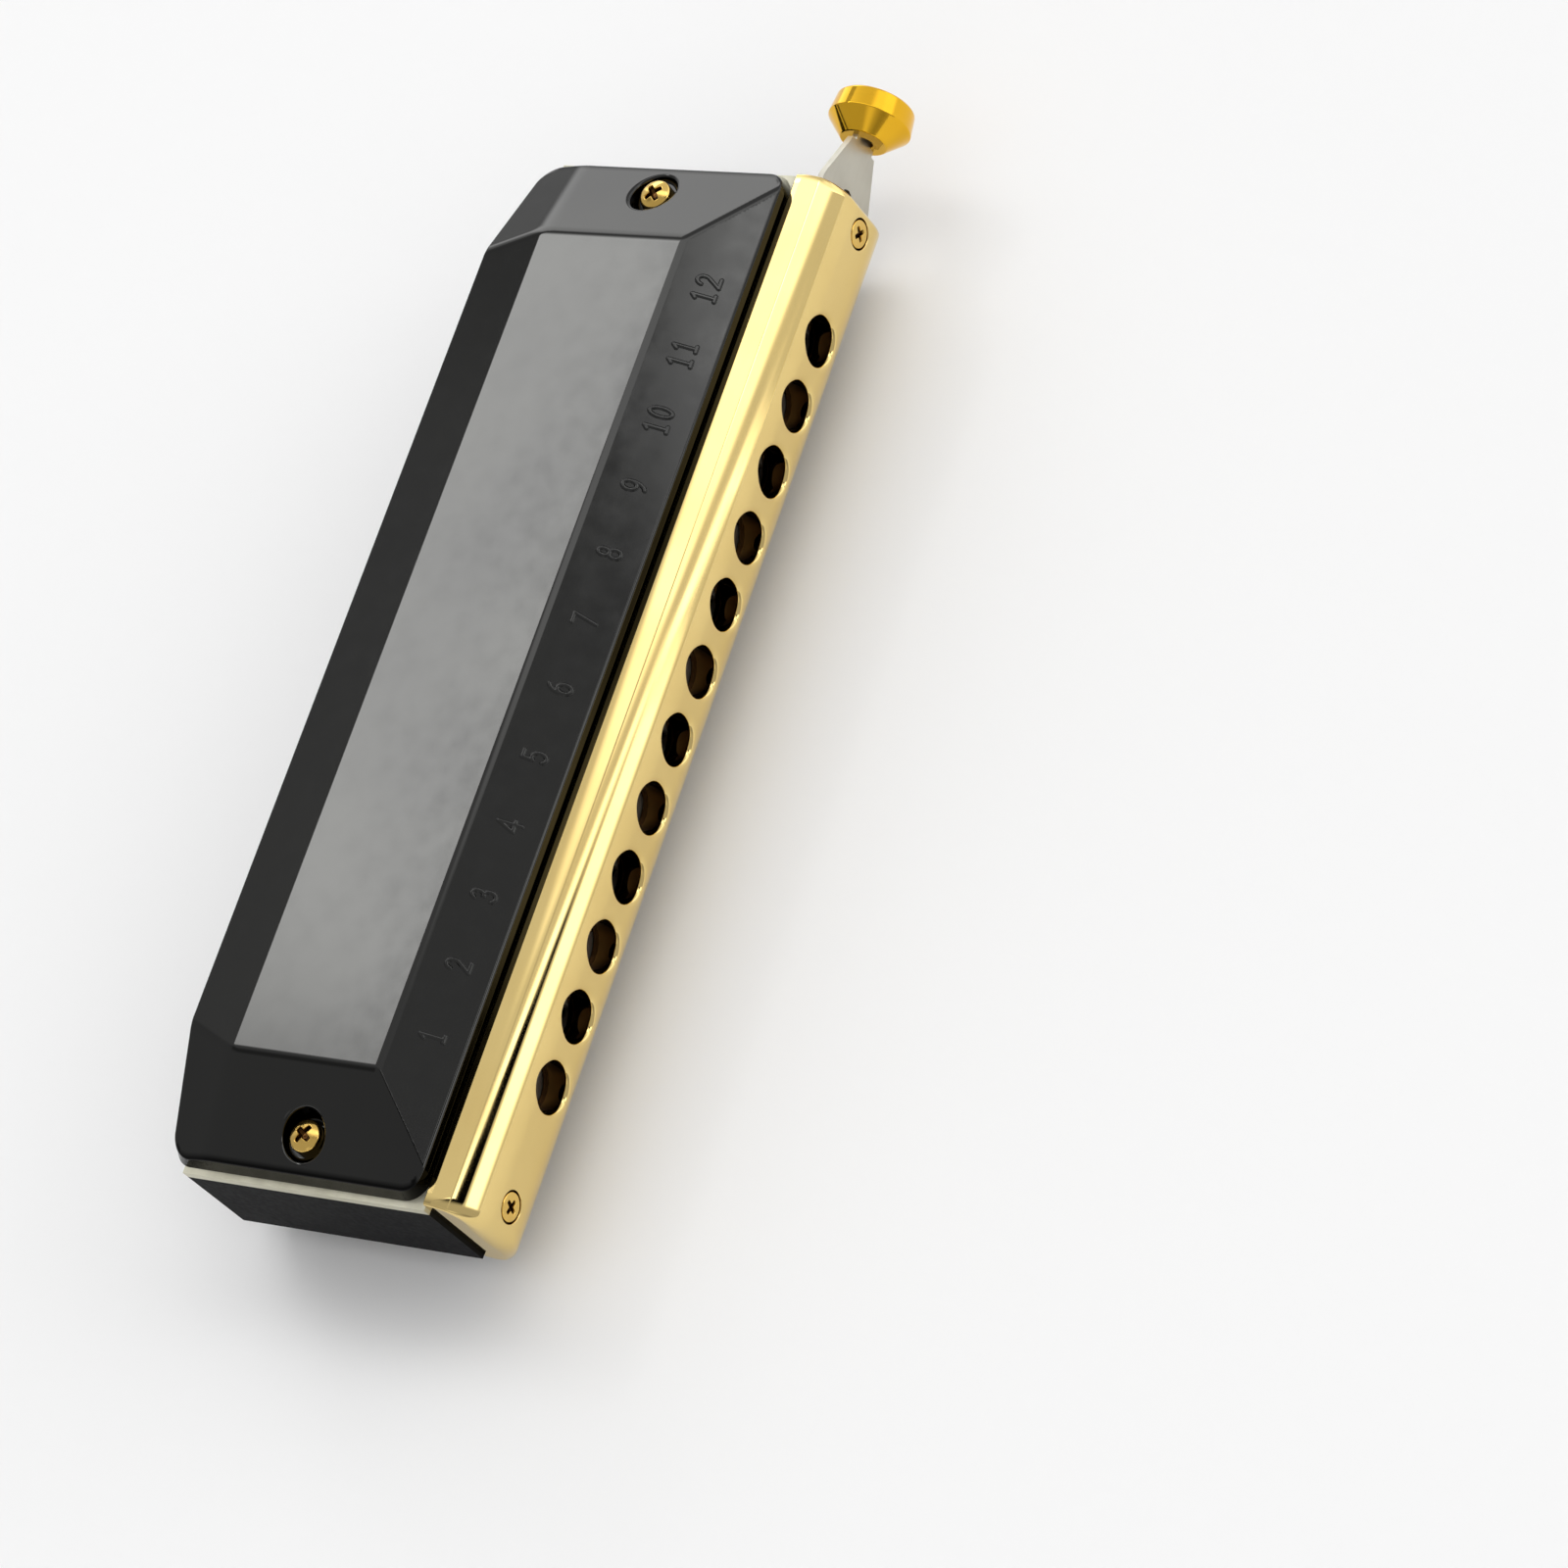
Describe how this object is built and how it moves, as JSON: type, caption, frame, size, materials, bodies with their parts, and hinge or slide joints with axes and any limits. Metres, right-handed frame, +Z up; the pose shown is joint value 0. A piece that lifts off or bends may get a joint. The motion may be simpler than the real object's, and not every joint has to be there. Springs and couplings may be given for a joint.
{
  "type": "chromatic harmonica",
  "caption": "Chromatic harmonica with dark chromed covers, a gold mouthpiece with a row of round breath holes, and a sprung slide worked by a turned gold button at one end.",
  "frame": {"origin": "Middle of the lower cover's flat panel, which is the face that the harmonica rests on.", "axes": "+X along the row of holes towards the slide button, +Y from the mouthpiece towards the open back of the covers, +Z up through the upper cover."},
  "size_m": [0.1531, 0.0449, 0.0268],
  "materials": {
    "black_plastic": "fine satin moulded black",
    "reed_brass": "milled brass",
    "black_chrome": "dark polished chrome",
    "gold_plate": "polished gold plate",
    "button_gold": "polished gold plate, deeper in tone",
    "satin_steel": "satin nickel plate",
    "spring_steel": "drawn spring wire"
  },
  "bodies": {
    "body": {"comb": "black_plastic", "reed_plate_upper": "reed_brass", "reed_plate_lower": "reed_brass", "cover_upper": "black_chrome", "cover_lower": "black_chrome", "mouthpiece": "gold_plate", "slide_channel": "gold_plate", "slide_back_plate": "gold_plate", "slide_spring": "spring_steel", "spring_pin": "spring_steel", "mouthpiece_screw_left": "gold_plate", "mouthpiece_screw_right": "gold_plate", "cover_bolt_left": "gold_plate", "cover_bolt_right": "gold_plate", "cover_nut_left": "gold_plate", "cover_nut_right": "gold_plate", "plate_screw_upper_1": "reed_brass", "plate_screw_upper_2": "reed_brass", "plate_screw_upper_3": "reed_brass", "plate_screw_upper_4": "reed_brass", "plate_screw_upper_5": "reed_brass", "plate_screw_upper_6": "reed_brass", "plate_screw_lower_1": "reed_brass", "plate_screw_lower_2": "reed_brass", "plate_screw_lower_3": "reed_brass", "plate_screw_lower_4": "reed_brass", "plate_screw_lower_5": "reed_brass", "plate_screw_lower_6": "reed_brass"},
    "slide": {"slide": "satin_steel", "slide_button": "button_gold"}
  },
  "joints": [
    {"name": "slide_press", "type": "slide", "parent": "body", "child": "slide", "axis": [-1, 0, 0], "range_m": [0, 0.00455], "stiffness_N_per_m": 300, "springref_m": -0.004, "deforming": ["slide_spring"]}
  ]
}
